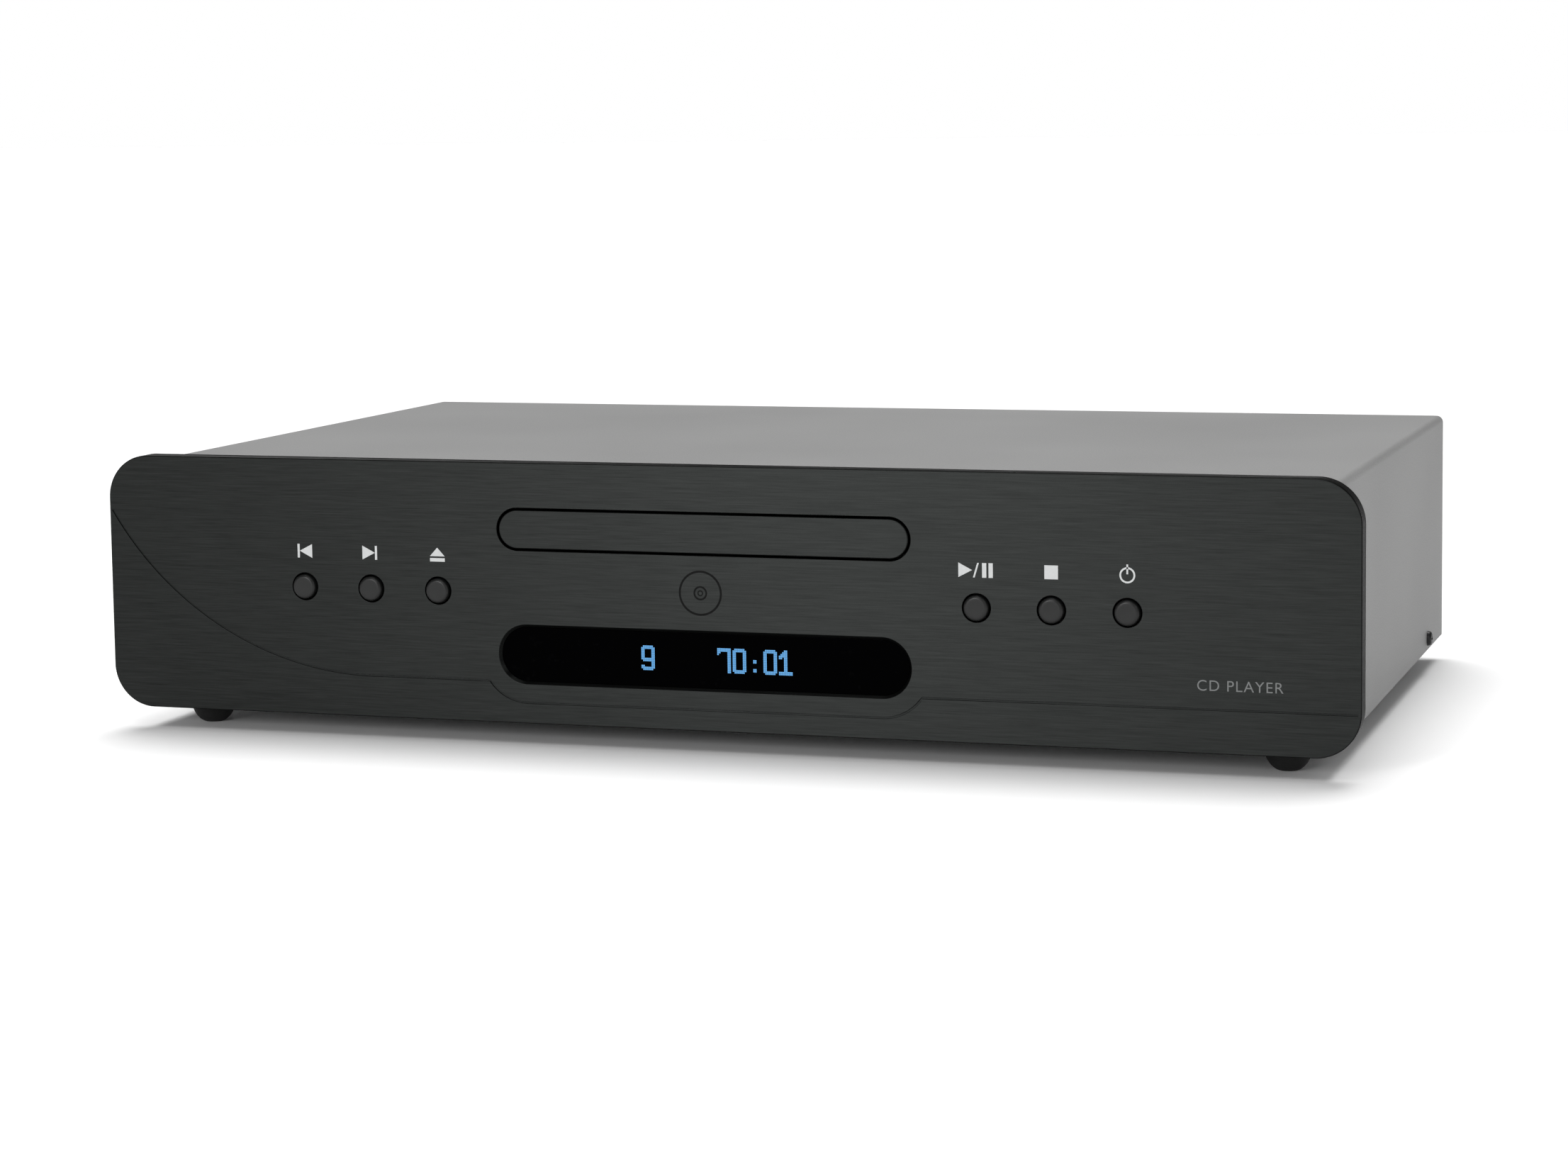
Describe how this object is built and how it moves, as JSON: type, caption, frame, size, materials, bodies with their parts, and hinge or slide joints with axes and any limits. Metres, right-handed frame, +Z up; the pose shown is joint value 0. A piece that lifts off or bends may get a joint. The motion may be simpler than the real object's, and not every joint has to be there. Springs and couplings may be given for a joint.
{
  "type": "cd player",
  "caption": "Full-width disc player with a front-loading tray, a pill-shaped display window, two rows of round buttons and rear audio sockets.",
  "frame": {"origin": "on the table, under the middle of the whole player's box", "axes": "+X to the right seen from the front, +Y to the back, +Z up; the front panel faces -Y"},
  "size_m": [0.44, 0.2774, 0.097],
  "materials": {
    "panel_aluminium": "dark anodised, fine horizontal brush",
    "case_paint": "satin grey, fine grain",
    "chassis_steel": "zinc-plated sheet",
    "rear_paint": "satin black",
    "button_gloss": "gloss black",
    "window_acrylic": "smoked, gloss",
    "display": "dark display glass",
    "tray_plastic": "moulded, matt black",
    "frame_plastic": "moulded, matt dark grey",
    "gear_plastic": "natural acetal",
    "rubber": "matt black",
    "bright_steel": "bright, turned",
    "black_screw": "black zinc",
    "motor_steel": "plated can",
    "circuit_board": "green solder mask",
    "brass": "plated brass",
    "capacitor_sleeve": "shrink sleeve",
    "transformer_wrap": "polyester tape over windings",
    "black_plastic": "moulded black",
    "wire": "pvc insulation",
    "lens_glass": "coated lens"
  },
  "bodies": {
    "case": {"front_panel": "panel_aluminium", "front_subplate": "chassis_steel", "panel_screws": "bright_steel", "chassis": "chassis_steel", "top_cover": "case_paint", "rear_panel": "rear_paint", "cover_screws": "black_screw", "feet": "rubber", "foot_screws": "bright_steel", "display_window": "window_acrylic", "display_glass": "display", "display_board": "circuit_board", "button_boards": "circuit_board", "button_switches": "black_plastic", "switch_standoffs": "brass", "loader_frame": "frame_plastic", "loader_posts": "bright_steel", "clamp_bridge": "chassis_steel", "bridge_screws": "bright_steel", "gear_axles": "bright_steel", "drive_belt": "rubber", "loading_motor": "motor_steel", "transformer": "transformer_wrap", "transformer_clamp": "chassis_steel", "main_board": "circuit_board", "power_board": "circuit_board", "smoothing_capacitors": "capacitor_sleeve", "heat_sink": "black_plastic", "audio_board": "circuit_board", "board_spacers": "brass", "mains_inlet": "black_plastic", "rocker_frame": "black_plastic", "phono_jacks": "brass", "digital_sockets": "black_plastic", "wiring": "wire"},
    "tray": {"disc_tray": "tray_plastic", "tray_door": "panel_aluminium"},
    "tray_gear": {"tray_gear": "gear_plastic"},
    "pulley_gear": {"pulley_gear": "gear_plastic"},
    "motor_pulley": {"motor_pulley": "brass"},
    "cam_slide": {"cam_slide": "gear_plastic"},
    "deck": {"lift_frame": "frame_plastic", "deck_mounts": "rubber", "traverse_deck": "chassis_steel", "spindle_motor": "motor_steel", "guide_rods": "bright_steel", "sled_motor": "motor_steel"},
    "turntable": {"turntable": "frame_plastic"},
    "clamp_puck": {"clamp_puck": "frame_plastic", "clamp_magnet": "bright_steel"},
    "pickup": {"pickup_sled": "motor_steel", "pickup_lens": "lens_glass"},
    "lead_screw": {"lead_screw": "brass"},
    "rocker": {"power_rocker": "black_plastic"},
    "previous_button": {"previous_button": "button_gloss"},
    "next_button": {"next_button": "button_gloss"},
    "eject_button": {"eject_button": "button_gloss"},
    "play_button": {"play_button": "button_gloss"},
    "stop_button": {"stop_button": "button_gloss"},
    "power_button": {"power_button": "button_gloss"}
  },
  "joints": [
    {"name": "tray_slide", "type": "slide", "parent": "case", "child": "tray", "axis": [0, -1, 0], "range_m": [0, 0.132]},
    {"name": "tray_gear_spin", "type": "hinge", "parent": "case", "child": "tray_gear", "pos_m": [-0.034, -0.1133, 0.0704], "axis": [0, 0, 1], "range_deg": [0, 757]},
    {"name": "pulley_gear_spin", "type": "hinge", "parent": "case", "child": "pulley_gear", "pos_m": [-0.018, -0.1133, 0.0644], "axis": [0, 0, 1], "range_deg": [-1766, 0]},
    {"name": "motor_pulley_spin", "type": "hinge", "parent": "case", "child": "motor_pulley", "pos_m": [0.024, -0.1123, 0.0618], "axis": [0, 0, 1], "range_deg": [-7355, 0]},
    {"name": "deck_lift", "type": "hinge", "parent": "case", "child": "deck", "pos_m": [0, 0.0427, 0.0485], "axis": [1, 0, 0], "range_deg": [0, 4]},
    {"name": "cam_slide_travel", "type": "slide", "parent": "case", "child": "cam_slide", "axis": [1, 0, 0], "range_m": [0, 0.014]},
    {"name": "turntable_spin", "type": "hinge", "parent": "deck", "child": "turntable", "pos_m": [0, -0.0668, 0.0744], "axis": [0, 0, 1], "continuous": true},
    {"name": "puck_spin", "type": "hinge", "parent": "case", "child": "clamp_puck", "pos_m": [0, -0.0668, 0.082], "axis": [0, 0, 1], "continuous": true},
    {"name": "pickup_slide", "type": "slide", "parent": "deck", "child": "pickup", "axis": [0, 1, 0], "range_m": [0, 0.034]},
    {"name": "lead_screw_spin", "type": "hinge", "parent": "deck", "child": "lead_screw", "pos_m": [0.037, -0.0173, 0.062], "axis": [0, 1, 0], "range_deg": [0, 4081]},
    {"name": "power_rocker_tilt", "type": "hinge", "parent": "case", "child": "rocker", "pos_m": [-0.116, 0.1262, 0.042], "axis": [1, 0, 0], "range_deg": [0, 18]},
    {"name": "previous_button_press", "type": "slide", "parent": "case", "child": "previous_button", "axis": [0, 1, 0], "range_m": [0, 0.0008], "stiffness_N_per_m": 1500, "springref_m": -0.0006},
    {"name": "next_button_press", "type": "slide", "parent": "case", "child": "next_button", "axis": [0, 1, 0], "range_m": [0, 0.0008], "stiffness_N_per_m": 1500, "springref_m": -0.0006},
    {"name": "eject_button_press", "type": "slide", "parent": "case", "child": "eject_button", "axis": [0, 1, 0], "range_m": [0, 0.0008], "stiffness_N_per_m": 1500, "springref_m": -0.0006},
    {"name": "play_button_press", "type": "slide", "parent": "case", "child": "play_button", "axis": [0, 1, 0], "range_m": [0, 0.0008], "stiffness_N_per_m": 1500, "springref_m": -0.0006},
    {"name": "stop_button_press", "type": "slide", "parent": "case", "child": "stop_button", "axis": [0, 1, 0], "range_m": [0, 0.0008], "stiffness_N_per_m": 1500, "springref_m": -0.0006},
    {"name": "power_button_press", "type": "slide", "parent": "case", "child": "power_button", "axis": [0, 1, 0], "range_m": [0, 0.0008], "stiffness_N_per_m": 1500, "springref_m": -0.0006}
  ],
  "couplings": [
    {"joint": "tray_gear_spin", "follows": "tray_slide", "rad_per_m": 100},
    {"joint": "pulley_gear_spin", "follows": "tray_slide", "rad_per_m": -233.33},
    {"joint": "motor_pulley_spin", "follows": "tray_slide", "rad_per_m": -972.22},
    {"joint": "cam_slide_travel", "follows": "deck_lift", "m_per_rad": 0.20053},
    {"joint": "puck_spin", "follows": "turntable_spin", "ratio": 1},
    {"joint": "lead_screw_spin", "follows": "pickup_slide", "rad_per_m": 2094.4}
  ]
}
